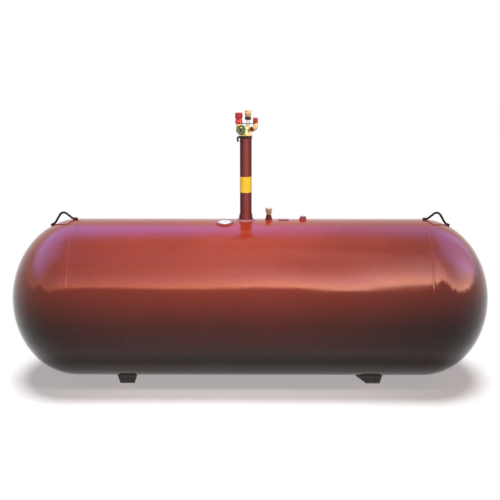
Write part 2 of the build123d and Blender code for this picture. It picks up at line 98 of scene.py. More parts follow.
def finish_of(name, **plain):
    """A new finish with one shader. Plain values go straight to the shader's sockets."""
    finish = bpy.data.materials.new(name)
    finish.use_nodes = True
    shader = finish.node_tree.nodes["Principled BSDF"]
    for socket, value in plain.items():
        shader.inputs[socket.replace("_", " ")].default_value = value
    return finish, finish.node_tree, shader


def grain(tree, scale, detail=3.0, stretch=(1, 1, 1), ease=0.5):
    """Noise on the piece's own coordinates; stretch squeezes or draws it out along an axis."""
    place = tree.nodes.new("ShaderNodeTexCoord")
    mapping = tree.nodes.new("ShaderNodeMapping")
    mapping.inputs["Scale"].default_value = stretch
    noise = tree.nodes.new("ShaderNodeTexNoise")
    noise.inputs["Scale"].default_value = scale
    noise.inputs["Detail"].default_value = detail
    noise.inputs["Roughness"].default_value = ease
    tree.links.new(place.outputs["Object"], mapping.inputs["Vector"])
    tree.links.new(mapping.outputs["Vector"], noise.inputs["Vector"])
    return noise.outputs["Fac"]


def tones(tree, amount, *stops):
    """Colour ramp: each stop is a place from 0 to 1 and a linear colour or grey."""
    ramp = tree.nodes.new("ShaderNodeValToRGB")
    entries = ramp.color_ramp.elements
    while len(entries) < len(stops):
        entries.new(0.5)
    for entry, (spot, tone) in zip(entries, stops):
        entry.position = spot
        entry.color = (*tone, 1) if np.ndim(tone) else (tone, tone, tone, 1)
    tree.links.new(amount, ramp.inputs["Fac"])
    return ramp.outputs["Color"]


def over(tree, share, under, above, blend="MIX"):
    """Lay one colour over another where share is high. The node's colour sockets are 6 and 7."""
    mix = tree.nodes.new("ShaderNodeMix")
    mix.data_type = "RGBA"
    mix.blend_type = blend
    tree.links.new(share, mix.inputs["Factor"])
    for source, socket in ((under, mix.inputs[6]), (above, mix.inputs[7])):
        if isinstance(source, tuple):
            socket.default_value = (*source, 1)
        else:
            tree.links.new(source, socket)
    return mix.outputs[2]


def times(tree, first, second):
    """Product of two amounts."""
    node = tree.nodes.new("ShaderNodeMath")
    node.operation = "MULTIPLY"
    tree.links.new(first, node.inputs[0])
    tree.links.new(second, node.inputs[1])
    return node.outputs[0]


def between(tree, axis, low, high):
    """Share from 0 to 1 as the piece's own x, y or z goes from low to high."""
    place = tree.nodes.new("ShaderNodeTexCoord")
    split = tree.nodes.new("ShaderNodeSeparateXYZ")
    reach = tree.nodes.new("ShaderNodeMapRange")
    reach.inputs["From Min"].default_value = low
    reach.inputs["From Max"].default_value = high
    tree.links.new(place.outputs["Object"], split.inputs["Vector"])
    tree.links.new(split.outputs[axis], reach.inputs["Value"])
    return reach.outputs["Result"]


def roughen(tree, shader, *layers):
    """Stack bump layers on the shader's normal: each is a height, a strength and a depth in metres."""
    normal = None
    for height, strength, depth in layers:
        bump = tree.nodes.new("ShaderNodeBump")
        bump.inputs["Strength"].default_value = strength
        bump.inputs["Distance"].default_value = depth
        tree.links.new(height, bump.inputs["Height"])
        if normal:
            tree.links.new(normal, bump.inputs["Normal"])
        normal = bump.outputs["Normal"]
    tree.links.new(normal, shader.inputs["Normal"])


def sprayed_paint(name, gloss, deep, plain, bright, mud_top):
    """Glossy paint: cloudy tone, fine orange peel, pale dust in patches, rusty specks, and mud that
    thins out with height."""
    dust, rust, dry_mud = (0.46, 0.2, 0.16), (0.1, 0.03, 0.012), (0.16, 0.11, 0.075)
    dust_from, dust_full = 0.4, 1.1
    finish, tree, shader = finish_of(name, Specular_IOR_Level=gloss)
    cloud = tones(tree, grain(tree, 2.3, 4), (0.32, deep), (0.5, plain), (0.68, bright))
    fleck = tones(tree, grain(tree, 150, 2), (0.36, 0.72), (0.62, 1.18))
    body = over(tree, tones(tree, grain(tree, 30, 3), (0.3, 0.35), (0.7, 0.75)), cloud, fleck, "MULTIPLY")
    wash = times(tree, tones(tree, grain(tree, 5, 5, (1.2, 1.2, 0.25)), (0.54, 0.0), (0.8, 0.1)),
                 between(tree, "Z", dust_from, dust_full))
    dusted = over(tree, wash, body, dust)
    speck = tones(tree, grain(tree, 46, 5, ease=0.6), (0.69, 0.0), (0.74, 0.5))
    specked = over(tree, speck, dusted, rust)
    mud = times(tree, tones(tree, grain(tree, 16, 6, ease=0.65), (0.4, 0.0), (0.6, 0.9)),
                between(tree, "Z", mud_top, 0.0))
    tree.links.new(over(tree, mud, specked, dry_mud), shader.inputs["Base Color"])
    tree.links.new(tones(tree, grain(tree, 7, 4), (0.35, 0.09), (0.7, 0.14)), shader.inputs["Roughness"])
    roughen(tree, shader, (grain(tree, 240, 2), 0.1, 0.001), (grain(tree, 9, 2), 0.05, 0.01))
    return finish


def plate_wave(along, angle):
    """Depth of the flats and dents of the plate: a sum of slow waves along the vessel and round it,
    weaker at the crown and the bottom, where fittings and feet hold the plate true."""
    wave = (
        np.sin(3.1 * along + 2 * angle + 0.4)
        + np.sin(5.3 * along - 5 * angle + 1.9)
        + 0.8 * np.sin(8.7 * along + 7 * angle + 4.2)
        + 0.5 * np.sin(2.2 * along + 11 * angle + 0.8)
    )
    peak = 3.3
    held_true = 0.75 * np.cos(angle) ** 16
    return dent_depth * (wave + peak) / (2 * peak) * (1 - held_true)


def round_vessel(along, radius, columns=288):
    """Surface of revolution about the vessel's axis, sunk by the plate's own waves, which die out
    towards the poles of the ends."""
    fade_radius = 0.3
    angle = np.linspace(0, 2 * np.pi, columns, endpoint=False)
    sunk = plate_wave(along[:, None], angle) * np.clip(radius[:, None] / fade_radius, 0, 1)
    reach = np.maximum(radius[:, None] - sunk, 0)
    across, up = -reach * np.sin(angle), axis_height + reach * np.cos(angle)
    return np.stack([np.broadcast_to(along[:, None], reach.shape), across, up], -1)


vessel_paint = sprayed_paint("vessel_paint", gloss=0.3, deep=(0.385, 0.038, 0.014),
                             plain=(0.41, 0.042, 0.016), bright=(0.44, 0.047, 0.019), mud_top=0.10)
outer_run = np.linspace(-seam_x, seam_x, shell_rows)
inner_run = outer_run[::-4]
inner_radius = shell_radius - plate
shell_run = np.concatenate([outer_run, inner_run])
shell_wall = np.concatenate([np.full(len(outer_run), shell_radius), np.full(len(inner_run), inner_radius)])
vessel_shell = skin("vessel_shell", round_vessel(shell_run, shell_wall), ring_rows=True)
fit(vessel_shell, vessel_paint, "vessel_paint", "shell")
turn = np.linspace(0, np.pi / 2, 80)
rim_run = np.linspace(seam_x, tangent_x, 4)[:-1]
head_run = np.concatenate([rim_run, tangent_x + dish_depth * np.sin(turn),
                           tangent_x + (dish_depth - plate) * np.sin(turn[::-2]), rim_run[::-1]])
head_wall = np.concatenate([np.full(len(rim_run), shell_radius), shell_radius * np.cos(turn),
                            inner_radius * np.cos(turn[::-2]), np.full(len(rim_run), inner_radius)])
head_wall[np.isclose(head_wall, 0, atol=1e-9)] = 0
for side, end in ((-1, "left_head"), (1, "right_head")):
    fit(skin(f"dished_{end}", round_vessel(side * head_run, head_wall), ring_rows=True),
        vessel_paint, "vessel_paint", end)

# Weld beads of the vessel: two rings where the ends meet the shell and one straight bead along the
# shell's own seam at the back, laid by machine in fine ripples and painted over.
bead_half_width = 0.008
bead_height = 0.0008
bead_root = 0.002
ripple_pitch = 0.006
seam_angle = radians(-55)
seam_gap = 0.018
seam_fade = 0.01


def bead_rise(run, across):
    """Height of a laid bead: a parabola across it, with crescent ripples that lag at the edges."""
    ripple = 0.86 + 0.1 * np.cos(2 * np.pi * (run / ripple_pitch + 0.7 * across**2))
    ripple = ripple + 0.04 * np.sin(23 * run)
    return bead_height * (1 - across**2) * ripple


bead_top, bead_under = np.linspace(-1, 1, 9), np.linspace(0.6, -0.6, 3)
across = np.append(bead_top, bead_under)
sunk = np.append(np.zeros(len(bead_top)), np.full(len(bead_under), -bead_root))
lap = np.linspace(0, 2 * np.pi, 1500, endpoint=False)
for side, end in ((-1, "left_girth_weld"), (1, "right_girth_weld")):
    lift = bead_rise(shell_radius * lap[:, None], across) * (sunk == 0) + sunk
    wander = 0.0008 * np.sin(9 * lap) + 0.0005 * np.sin(31 * lap)
    reach = shell_radius - plate_wave(side * seam_x, lap)[:, None] + lift
    ring = np.stack([side * seam_x + bead_half_width * across + wander[:, None],
                     -reach * np.sin(lap)[:, None], axis_height + reach * np.cos(lap)[:, None]], -1)
    fit(skin(f"{end}_bead", ring, ring_rows=True), vessel_paint, "vessel_paint", end)
stretch = np.linspace(-seam_x + seam_gap, seam_x - seam_gap, 900)
taper = np.minimum(1, np.minimum(stretch - stretch[0], stretch[-1] - stretch) / seam_fade)[:, None]
lift = (bead_rise(stretch[:, None], across) * (sunk == 0) + sunk) * taper
reach = shell_radius - plate_wave(stretch, seam_angle)[:, None] + lift
round_by = seam_angle + bead_half_width / shell_radius * across * taper
straight = np.stack([np.broadcast_to(stretch[:, None], reach.shape), -reach * np.sin(round_by),
                     axis_height + reach * np.cos(round_by)], -1)
fit(skin("long_seam_bead", straight), vessel_paint, "vessel_paint", "long_seam_weld")

# Feet: two folded channels of plate across the vessel, closed by end plates and welded to the shell;
# the right one has a pointed brace. The same paint, faded grey with dust and muddy near the sole.
foot_x = 0.78
foot_sole_width = 0.092
foot_top_width = 0.124
foot_height = 0.0563
foot_half_length = 0.16
foot_weld_size = 0.004
foot_edge = 0.0012
brace_start, brace_end = 0.012, 0.06
brace_weld_size = 0.0035
foot_pieces = ("left_foot", "right_foot", "left_foot_front_plate", "left_foot_rear_plate",
               "right_foot_front_plate", "right_foot_rear_plate", "right_foot_brace")


def dress(finish, *names):
    """Give CAD pieces their finish in place of the plain one they came with."""
    for name in names:
        cad[name].data.materials[0] = finish


def soften(width, *names):
    """Round the edges of CAD pieces: points that coincide are joined, then edges that turn by more than
    35 degrees are rounded."""
    for name in names:
        weld = cad[name].modifiers.new("joined_points", "WELD")
        weld.merge_threshold = 1e-5
        bevel = cad[name].modifiers.new("rounded_edges", "BEVEL")
        bevel.width = width
        bevel.segments = 2
        bevel.limit_method = "ANGLE"
        bevel.angle_limit = radians(35)
        bevel.harden_normals = True


def unit(vectors):
    """Vectors scaled to length one."""
    return vectors / np.linalg.norm(vectors, axis=-1, keepdims=True)


def on_shell(x, y, above=True, lift=0.0):
    """Points on the shell over or under the plan points x, y."""
    rise = np.sqrt((shell_radius + lift) ** 2 - y**2)
    return np.stack([x + 0 * y, y + 0 * x, axis_height + (rise if above else -rise) + 0 * x], -1)


def even(path, step, ring=False):
    """The same path with its points an equal step apart."""
    line = np.concatenate([path, path[:1]]) if ring else path
    run = np.append(0, np.cumsum(np.linalg.norm(np.diff(line, axis=0), axis=1)))
    spots = np.linspace(0, run[-1], max(6, int(run[-1] / step)), endpoint=not ring)
    return np.stack([np.interp(spots, run, line[:, k]) for k in range(3)], -1)


def weld_run(path, size, ring=True):
    """Fillet weld: a circle carried along the path, swelling at each ripple. Where the run is open,
    it thins to nothing at both ends."""
    step, pitch = 0.0025, 0.007
    path = even(np.asarray(path), step, ring)
    ahead = np.roll(path, -1, 0) - np.roll(path, 1, 0) if ring else np.gradient(path, axis=0)
    ahead = unit(ahead)
    beside = unit(np.cross(ahead, np.array([0.31, 0.22, 0.92])))
    above = np.cross(beside, ahead)
    run = np.arange(len(path)) * step
    unsteady = np.sin(61 * run + 1) * np.sin(37 * run)
    swell = size * (1 + 0.13 * np.cos(2 * np.pi * run / pitch) + 0.1 * unsteady)
    if not ring:
        swell = swell * np.sqrt(np.clip(1 - np.abs(np.linspace(-1, 1, len(path))) ** 6, 0, 1))
    turn = np.linspace(0, 2 * np.pi, 10, endpoint=False)
    circle = np.cos(turn)[:, None] * beside[:, None] + np.sin(turn)[:, None] * above[:, None]
    return path[:, None] + swell[:, None, None] * circle


foot_paint = sprayed_paint("foot_paint", gloss=1.0, deep=(0.31, 0.20, 0.20), plain=(0.37, 0.245, 0.245),
                           bright=(0.43, 0.29, 0.29), mud_top=0.12)
dress(foot_paint, *foot_pieces)
soften(foot_edge, *foot_pieces)
foot_slope = (foot_top_width - foot_sole_width) / 2 / foot_height
forth = np.linspace(-foot_half_length, foot_half_length, 60)
y = np.concatenate([forth, -forth])
half = foot_sole_width / 2 + foot_slope * (axis_height - np.sqrt(shell_radius**2 - y**2))
flank = np.repeat((1, -1), len(forth))
for side, end in ((-1, "left_foot"), (1, "right_foot")):
    seam = on_shell(side * foot_x + flank * half, y, above=False)
    fit(skin(f"{end}_weld", weld_run(seam, foot_weld_size), ring_rows=True), vessel_paint, "vessel_paint")
brace_x = foot_x - np.linspace(foot_sole_width / 2 + brace_start, foot_sole_width / 2 + brace_end, 20)
brace_seam = on_shell(brace_x, np.full(len(brace_x), -foot_half_length), above=False)
brace_weld = weld_run(brace_seam, brace_weld_size, ring=False)
fit(skin("right_foot_brace_weld", brace_weld), vessel_paint, "vessel_paint")

# Lifting lugs: round steel bar, bent to a peak over each girth weld and welded down at both ends.
# Brushed with dark paint that has worn thin and rusts along the bends.
lug_ends = {"inner": ((1.086, 1.031), (1.113, 1.031)), "outer": ((1.228, 1.0035), (1.254, 0.990))}
lug_flank = 0.0055
lug_weld_size = 0.0036
lug_paint, tree, shader = finish_of("lug_paint", Specular_IOR_Level=0.2)
dark = tones(tree, grain(tree, 40, 4), (0.35, (0.010, 0.004, 0.005)), (0.65, (0.024, 0.008, 0.009)))
worn = tones(tree, grain(tree, 85, 5, ease=0.65), (0.6, 0.0), (0.68, 0.6))
tree.links.new(over(tree, worn, dark, (0.07, 0.026, 0.016)), shader.inputs["Base Color"])
tree.links.new(tones(tree, grain(tree, 60, 3), (0.3, 0.32), (0.7, 0.6)), shader.inputs["Roughness"])
roughen(tree, shader, (grain(tree, 300, 3), 0.15, 0.0006))
dress(lug_paint, "left_lug", "right_lug")
for side, lug in ((-1, "left_lug"), (1, "right_lug")):
    for end, ((x0, z0), (x1, z1)) in lug_ends.items():
        for flank, face in ((-lug_flank, "front"), (lug_flank, "rear")):
            seam = np.linspace((side * x0, flank, z0), (side * x1, flank, z1), 12)
            weld = weld_run(seam, lug_weld_size, ring=False)
            fit(skin(f"{lug}_{end}_{face}_weld", weld), lug_paint, "dark_paint")

# Riser: a curved pad and a socket welded on the crown, and a long pipe standing in the socket, sprayed
# red-brown like the vessel, duller on the pipe. The pipe, its socket and the weld on its top darken towards
# both flanks as painted shade, lightest in a strip a little right of centre. The weld round the pad is
# painted a pale lilac grey as a painted reflection, with rust stains.
riser_x = -0.026
crown = axis_height + shell_radius
pipe_radius = 0.0365
pipe_weld_radius = 0.0382
pipe_weld_size = 0.0025
socket_top = crown + 0.0362


def saddle_weld(name, x, radius, size, lift=0.0, columns=160):
    """Weld round an upright socket: a circle in plan that follows the crown."""
    lap = np.linspace(0, 2 * np.pi, columns, endpoint=False)
    saddle = on_shell(x + radius * np.cos(lap), radius * np.sin(lap), lift=lift)
    return skin(name, weld_run(saddle, size), ring_rows=True)


pipe_paint, tree, shader = finish_of("pipe_paint", Specular_IOR_Level=0.06)
long_tone = tones(tree, grain(tree, 9, 4, (1, 1, 0.12)), (0.3, (0.29, 0.070, 0.060)),
                  (0.5, (0.34, 0.084, 0.074)), (0.7, (0.39, 0.098, 0.087)))
scuff = tones(tree, grain(tree, 60, 6, (1, 1, 0.4), 0.7), (0.64, 0.0), (0.72, 0.4))
coat = over(tree, scuff, long_tone, (0.15, 0.035, 0.032))
# Painted shade: the pipe darkens towards this colour at both flanks and is lightest a little right of
# centre.
flank_shade_colour = (0.11, 0.030, 0.031)
for shade_start, shade_full in ((0.004, -0.027), (0.010, 0.031)):
    flank_shade_share = between(tree, "X", riser_x + shade_start, riser_x + shade_full)
    coat = over(tree, flank_shade_share, coat, flank_shade_colour)
tree.links.new(coat, shader.inputs["Base Color"])
dull = tones(tree, grain(tree, 22, 4, (1, 1, 0.2)), (0.3, 0.3), (0.7, 0.45))
tree.links.new(dull, shader.inputs["Roughness"])
roughen(tree, shader, (grain(tree, 260, 2), 0.06, 0.0008), (grain(tree, 30, 3, (1, 1, 0.15)), 0.05, 0.002))
dress(vessel_paint, "riser_pad")
dress(pipe_paint, "riser_pipe", "riser_socket")
# Painted reflection: the weld round the pad is coloured a pale lilac grey, with rust stains in patches.
pad_weld_reflection_paint, tree, shader = finish_of("pad_weld_reflection_paint", Specular_IOR_Level=0.5)
reflection_tone = tones(tree, grain(tree, 60, 5), (0.3, (0.26, 0.22, 0.27)), (0.6, (0.40, 0.35, 0.41)))
stain = tones(tree, grain(tree, 34, 5, ease=0.65), (0.52, 0.0), (0.66, 0.75))
tree.links.new(over(tree, stain, reflection_tone, (0.30, 0.08, 0.06)), shader.inputs["Base Color"])
tree.links.new(tones(tree, grain(tree, 90, 3), (0.3, 0.35), (0.7, 0.55)), shader.inputs["Roughness"])
roughen(tree, shader, (grain(tree, 400, 2), 0.15, 0.0005))
for name, radius, lift, size, coat in (
    ("riser_pad_weld", 0.0503, 0.0012, 0.0042, pad_weld_reflection_paint),
    ("riser_socket_weld", 0.0445, 0.0055, 0.003, vessel_paint),
):
    fit(saddle_weld(name, riser_x, radius, size, lift, columns=240), coat, "vessel_paint")
lap = np.linspace(0, 2 * np.pi, 240, endpoint=False)
pipe_foot = np.stack([riser_x + pipe_weld_radius * np.cos(lap), pipe_weld_radius * np.sin(lap),
                      np.full(len(lap), socket_top)], -1)
pipe_weld = skin("riser_pipe_weld", weld_run(pipe_foot, pipe_weld_size), ring_rows=True)
fit(pipe_weld, pipe_paint, "fitting_paint")

# Yellow band: a strip of plain foil wrapped once round the pipe and lapped at the back, with small
# creases where it was pulled tight and edges that have begun to lift.
band_low = crown + 0.175
band_height = 0.098
foil_outside, foil_inside = 0.0009, 0.0001
crease_depth = 0.00016
edge_lift = 0.00022
lap_step = 0.00025
foil, tree, shader = finish_of("band_foil", Specular_IOR_Level=0.5)
sun = tones(tree, grain(tree, 26, 4), (0.3, (0.92, 0.58, 0.03)), (0.7, (0.97, 0.68, 0.07)))
grime = tones(tree, grain(tree, 48, 6, (1, 1, 0.5), 0.65), (0.6, 0.0), (0.76, 0.35))
tree.links.new(over(tree, grime, sun, (0.6, 0.32, 0.02)), shader.inputs["Base Color"])
tree.links.new(tones(tree, grain(tree, 40, 3), (0.3, 0.25), (0.7, 0.42)), shader.inputs["Roughness"])
roughen(tree, shader, (grain(tree, 90, 3, (1, 1, 0.5)), 0.12, 0.001))
rise = np.linspace(0, 1, 40)[:, None]
lap = np.linspace(0, 2 * np.pi, 160, endpoint=False)
crease = crease_depth * np.sin(7 * lap + 3 * np.sin(9 * rise)) * np.sin(np.pi * rise)
crease = crease + edge_lift * (np.abs(2 * rise - 1) ** 12) * (1 + np.sin(3 * lap + 8 * rise))
lapped = lap_step / (1 + np.exp(-60 * (np.abs(lap - np.pi / 2) - 0.12)))
outer = pipe_radius + foil_outside - lapped + crease
inner = np.full_like(outer, pipe_radius + foil_inside)
wall = np.concatenate([outer, inner[::-1]])
height = np.concatenate([rise, rise[::-1]]) * band_height + band_low + 0 * lap
foil_band = np.stack([riser_x + wall * np.cos(lap), wall * np.sin(lap), height], -1)
fit(skin("yellow_band", foil_band, ring_rows=True), foil, "band", "label_band")

# Collar and hook: a dark ring clamped round the top of the pipe, with a bent bar hanging at its left
# for a cap chain. Painted almost black; on the collar the black is partly its own paint and partly
# painted shade under the valve's foot.
riser_top = crown + 0.524
collar_height = 0.017
collar_bore, collar_radius = 0.0367, 0.039
upright, rightward = (0, 0, 1), (1, 0, 0)


def eased(corners, ease, steps=5, closed=False):
    """Lathe profile with each corner swapped for a parabola that leaves and joins the two sides
    at the distance ease, or at just under half of a side that is too short for it."""
    most = 0.48
    spots = np.asarray(corners, float)
    back, ahead = np.roll(spots, 1, 0) - spots, np.roll(spots, -1, 0) - spots
    long_back, long_ahead = np.linalg.norm(back, axis=1), np.linalg.norm(ahead, axis=1)
    leave = spots + back * (np.minimum(ease, most * long_back) / long_back)[:, None]
    join = spots + ahead * (np.minimum(ease, most * long_ahead) / long_ahead)[:, None]
    s = np.linspace(0, 1, steps)[None, :, None]
    curve = (1 - s) ** 2 * leave[:, None] + 2 * s * (1 - s) * spots[:, None] + s**2 * join[:, None]
    if closed:
        return curve.reshape(-1, 2)
    return np.concatenate([spots[:1], curve[1:-1].reshape(-1, 2), spots[-1:]])


def turned(origin, along, across, reach, radius, columns=64):
    """Lathe surface: at each reach along the axis the radius is the same all round, or follows a
    row of its own."""
    along, across = unit(np.array(along, float)), unit(np.array(across, float))
    angle = np.linspace(0, 2 * np.pi, columns, endpoint=False)
    ray = np.cos(angle)[:, None] * across + np.sin(angle)[:, None] * np.cross(along, across)
    spread = np.broadcast_to(np.reshape(radius, (len(reach), -1)), (len(reach), columns))
    return np.array(origin) + np.asarray(reach)[:, None, None] * along + spread[..., None] * ray


collar_paint, tree, shader = finish_of("collar_paint", Specular_IOR_Level=0.25)
# Near-black: on the collar partly painted shade under the valve's foot; the hook, the gauge marks and the
# hand are plain black.
near_black = tones(tree, grain(tree, 70, 4), (0.35, (0.016, 0.008, 0.005)), (0.7, (0.034, 0.017, 0.010)))
tree.links.new(near_black, shader.inputs["Base Color"])
tree.links.new(tones(tree, grain(tree, 50, 3), (0.3, 0.35), (0.7, 0.55)), shader.inputs["Roughness"])
roughen(tree, shader, (grain(tree, 350, 2), 0.12, 0.0005))
dress(collar_paint, "collar_hook")
ring_profile = eased([(-collar_height, collar_bore), (-collar_height, collar_radius),
                      (0.0, collar_radius), (0.0, collar_bore)], 0.0012, closed=True)
collar = turned((riser_x, 0, riser_top), upright, rightward, ring_profile[:, 0], ring_profile[:, 1], 128)
fit(skin("pipe_collar", collar, ring_rows=True), collar_paint, "dark_paint", "riser_collar")

# Valve body: one brass casting on the pipe's top, with a flanged foot, two arms that turn up into
# ports, an outlet boss and a rising arm for the service valve. Sand-cast skin, dulled by weather.
casting_edge = 0.0015


def cast_brass(name, skin_depth, scale, brown, plain, pale):
    """Brass: patches of three tones, brown specks, and a skin as deep as asked."""
    finish, tree, shader = finish_of(name, Metallic=0.6)
    patch = tones(tree, grain(tree, 38 * scale, 5), (0.3, brown), (0.5, plain), (0.7, pale))
    tarnish = tones(tree, grain(tree, 120 * scale, 5, ease=0.65), (0.58, 0.0), (0.7, 0.6))
    tree.links.new(over(tree, tarnish, patch, (0.30, 0.16, 0.05)), shader.inputs["Base Color"])
    dull = tones(tree, grain(tree, 70 * scale, 4), (0.3, 0.26), (0.7, 0.46))
    tree.links.new(dull, shader.inputs["Roughness"])
    sand, lumps = grain(tree, 700, 3), grain(tree, 120, 2)
    roughen(tree, shader, (sand, 0.35, skin_depth), (lumps, 0.2, skin_depth * 2))
    return finish


brass_casting = cast_brass("brass_casting", skin_depth=0.0004, scale=1.0, brown=(0.62, 0.44, 0.17),
                           plain=(0.78, 0.60, 0.27), pale=(0.86, 0.72, 0.38))
dress(brass_casting, "valve_body")
soften(casting_edge, "valve_body")

# Outlet nipple: turned from hexagon brass, screwed into the boss, with a pipe thread and an open
# gas way that looks black inside. Its brass is darkened to a deep bronze as painted shade under the
# valve body's arm.
outlet = (riser_x + 0.036, -0.022, riser_top + 0.042)
thread_radius = 0.01045
thread_pitch = 0.0018
thread_depth = 0.0011
thread_start, thread_end = 0.0085, 0.0235
nipple_flats = 0.026
hex_columns = 72


def chamfered(profile, flats):
    """Turned profile cut by a hexagon: at each angle the smaller of the profile's radius and the distance
    from the centre to the hexagon's edge."""
    angle = np.linspace(0, 2 * np.pi, hex_columns, endpoint=False)
    edge = flats / 2 / np.cos((angle + np.pi / 6) % (np.pi / 3) - np.pi / 6)
    return np.minimum(profile[:, 1][:, None], edge)


thread_reach = np.linspace(thread_start, thread_end, 120)
angle = np.linspace(0, 2 * np.pi, hex_columns, endpoint=False)
turns = thread_reach[:, None] / thread_pitch - angle / (2 * np.pi)
thread = thread_radius - thread_depth * np.abs(2 * (turns % 1) - 1)
head = eased([(0, 0), (0, 0.0142), (0.0008, 0.0148), (0.0072, 0.0148), (0.008, 0.0142),
              (0.0083, 0.0098)], 0.0003)
mouth = eased([(0.0238, 0.0098), (0.024, 0.0090), (0.024, 0.0066), (0.0228, 0.006), (0.006, 0.006),
               (0.006, 0)], 0.0004)
nipple_reach = np.concatenate([head[:, 0], thread_reach, mouth[:, 0]])
nipple_radius = np.concatenate([chamfered(head, nipple_flats), thread,
                                np.broadcast_to(mouth[:, 1:2], (len(mouth), hex_columns))])
# Painted shade: the nipple's brass is darkened for the shade under the valve body's arm.
shaded_brass = cast_brass("shaded_brass", skin_depth=0.0001, scale=1.5, brown=(0.05, 0.03, 0.015),
                        plain=(0.10, 0.06, 0.03), pale=(0.20, 0.13, 0.06))
nipple = turned(outlet, (0, -1, 0), rightward, nipple_reach, nipple_radius, hex_columns)
fit(skin("threaded_outlet", nipple), shaded_brass, "brass", "outlet_nipple")

# Caps: a waisted filler cap with finger grips on the left port and a ribbed cap on the right one,
# both moulded in red plastic, tied together by a flat zinc plated strap.
neck_top = riser_top + 0.0765
fill_x, vapour_x = riser_x - 0.042, riser_x + 0.059
cap_columns = 192
grip_count, grip_depth = 16, 0.0016
grip_from, grip_inside = 0.0285, 0.017
rib_count, rib_depth, rib_top = 24, 0.0007, 0.027
strap_edge = 0.0006


def moulded(name, low, high, sheen):
    """Moulded plastic: near-even colour with faint flow clouds, rubbed spots and a fine matt skin."""
    finish, tree, shader = finish_of(name, Specular_IOR_Level=0.5)
    flow = tones(tree, grain(tree, 55, 3), (0.3, low), (0.7, high))
    rubbed = tones(tree, grain(tree, 160, 5, ease=0.65), (0.6, 0.0), (0.72, 0.35))
    pale = tuple(min(1, 0.35 + 0.6 * part) for part in high)
    tree.links.new(over(tree, rubbed, flow, pale), shader.inputs["Base Color"])
    dull = tones(tree, grain(tree, 90, 3), (0.3, sheen), (0.7, sheen + 0.16))
    tree.links.new(dull, shader.inputs["Roughness"])
    roughen(tree, shader, (grain(tree, 900, 2), 0.15, 0.0002))
    return finish


red_plastic = moulded("red_plastic", (0.55, 0.034, 0.032), (0.70, 0.072, 0.060), 0.3)
fill_profile = eased([(0, 0), (0, 0.025), (0.003, 0.025), (0.027, 0.0185), (0.030, 0.023), (0.060, 0.023),
                      (0.063, 0.0205), (0.063, 0.015), (0.0605, 0.013), (0.0605, 0)], 0.0016)
angle = np.linspace(0, 2 * np.pi, cap_columns, endpoint=False)
grip = 0.5 - 0.5 * np.cos(grip_count * angle)
tier = np.clip((fill_profile[:, 0] - grip_from) / 0.002, 0, 1)
tier = tier * np.clip((fill_profile[:, 1] - grip_inside) / 0.004, 0, 1)
fill_radius = fill_profile[:, 1:2] - grip_depth * tier[:, None] * grip**2
filler = turned((fill_x, 0, neck_top), upright, rightward, fill_profile[:, 0], fill_radius, cap_columns)
fit(skin("filler_cap", filler), red_plastic, "red_plastic", "fill_cap")
small_profile = eased([(0, 0), (0, 0.0155), (0.033, 0.015), (0.033, 0)], 0.004, 8)
small_rib = np.clip((rib_top - small_profile[:, 0:1]) / 0.003, 0, 1) * (small_profile[:, 1:2] > 0.01)
small_rib = rib_depth * small_rib * (0.5 + 0.5 * np.cos(rib_count * angle))
small_radius = small_profile[:, 1:2] - small_rib
small = turned((vapour_x, 0, neck_top), upright, rightward, small_profile[:, 0], small_radius, cap_columns)
fit(skin("vapour_port_cap", small), red_plastic, "red_plastic", "vapour_cap")
zinc, tree, shader = finish_of("zinc_plate", Metallic=0.4)
spangle = tones(tree, grain(tree, 130, 4), (0.3, (0.07, 0.06, 0.075)), (0.7, (0.14, 0.13, 0.15)))
tree.links.new(spangle, shader.inputs["Base Color"])
tree.links.new(tones(tree, grain(tree, 200, 3), (0.3, 0.3), (0.7, 0.5)), shader.inputs["Roughness"])
roughen(tree, shader, (grain(tree, 500, 2), 0.12, 0.0003))
dress(zinc, "cap_strap")
soften(strap_edge, "cap_strap")

# Relief valve: a bright turned neck on the column, a black rubber seat ring and a brass rain cap
# that widens upwards and has a groove turned round it.
relief_x = riser_x + 0.014
ring_seat, cap_seat = riser_top + 0.096, riser_top + 0.115
brass_turned = cast_brass("brass_turned", skin_depth=0.00008, scale=1.5, brown=(0.48, 0.34, 0.12),
                          plain=(0.62, 0.47, 0.20), pale=(0.78, 0.64, 0.32))
bright_steel, tree, shader = finish_of("bright_steel", Metallic=1.0)
lathe_lines = tones(tree, grain(tree, 60, 3, (1, 1, 8)), (0.3, (0.62, 0.61, 0.60)),
                    (0.7, (0.86, 0.85, 0.83)))
tree.links.new(lathe_lines, shader.inputs["Base Color"])
dull = tones(tree, grain(tree, 90, 3, (1, 1, 6)), (0.3, 0.18), (0.7, 0.34))
tree.links.new(dull, shader.inputs["Roughness"])
roughen(tree, shader, (grain(tree, 120, 2, (1, 1, 9)), 0.12, 0.0002))
dress(bright_steel, "relief_neck")
rubber, tree, shader = finish_of("seat_rubber", Specular_IOR_Level=0.35)
soft_black = tones(tree, grain(tree, 90, 4), (0.3, (0.012, 0.009, 0.008)), (0.7, (0.035, 0.028, 0.024)))
tree.links.new(soft_black, shader.inputs["Base Color"])
tree.links.new(tones(tree, grain(tree, 130, 3), (0.3, 0.5), (0.7, 0.75)), shader.inputs["Roughness"])
roughen(tree, shader, (grain(tree, 600, 3), 0.3, 0.0004))
ring_profile = eased([(0, 0), (0, 0.0175), (0.003, 0.019), (0.016, 0.019), (0.019, 0.0175),
                      (0.019, 0)], 0.002)
seat = turned((relief_x, 0, ring_seat), upright, rightward, ring_profile[:, 0], ring_profile[:, 1])
fit(skin("relief_seat_ring", seat), rubber, "seat_rubber", "relief_ring")
cap_profile = eased([(0, 0), (0, 0.017), (0.020, 0.0205), (0.025, 0.0205), (0.026, 0.0193), (0.028, 0.0193),
                     (0.029, 0.0205), (0.036, 0.0202), (0.040, 0.0155), (0.040, 0)], 0.0018)
rain_cap = turned((relief_x, 0, cap_seat), upright, rightward, cap_profile[:, 0], cap_profile[:, 1], 96)
fit(skin("relief_rain_cap", rain_cap), brass_turned, "brass", "relief_cap")

